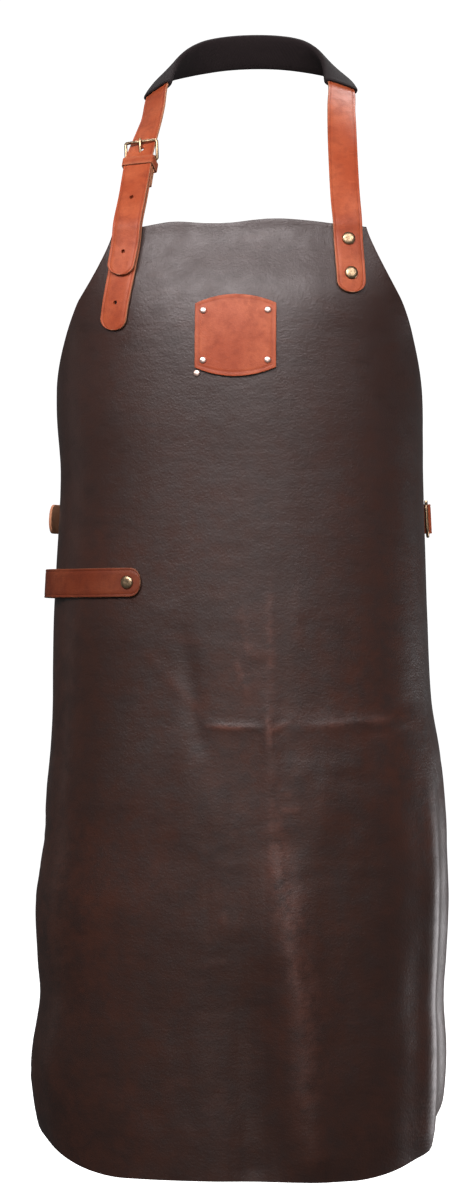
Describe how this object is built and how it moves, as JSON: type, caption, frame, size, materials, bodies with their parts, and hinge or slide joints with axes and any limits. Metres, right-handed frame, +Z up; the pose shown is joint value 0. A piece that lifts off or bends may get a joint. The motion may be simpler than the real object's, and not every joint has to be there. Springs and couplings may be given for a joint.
{
  "type": "leather apron",
  "caption": "Long dark leather work apron with a buckled, padded neck strap, riveted patch, towel strap and waist strap, hanging as worn.",
  "frame": {"origin": "middle of the neck pad's inner face, where it lies on the nape", "axes": "+Z up, the front of the apron looks along -Y, +X is the viewer's right"},
  "size_m": [0.3789, 0.2366, 1.0451],
  "materials": {
    "dark_leather": "satin, fine grain",
    "tan_leather": "satin",
    "black_cloth": "matte",
    "old_brass": "antique",
    "copper": "polished"
  },
  "bodies": {
    "root": {"apron_sheet": "dark_leather", "neck_pad": "black_cloth", "neck_strap": "tan_leather", "buckle_strap": "tan_leather", "strap_keeper": "tan_leather", "buckle_frame": "old_brass", "buckle_prong": "old_brass", "patch": "tan_leather", "towel_strap": "tan_leather", "waist_strap": "tan_leather", "waist_ring": "old_brass", "neck_rivet_upper": "old_brass", "neck_rivet_lower": "old_brass", "buckle_strap_rivet": "old_brass", "buckle_strap_pin": "old_brass", "patch_rivet_1": "copper", "patch_rivet_2": "copper", "patch_rivet_3": "copper", "patch_rivet_4": "copper", "patch_stud": "copper", "towel_rivet_front": "old_brass", "towel_rivet_rear": "old_brass", "waist_rivet_left": "old_brass", "waist_rivet_right": "old_brass"}
  },
  "joints": []
}
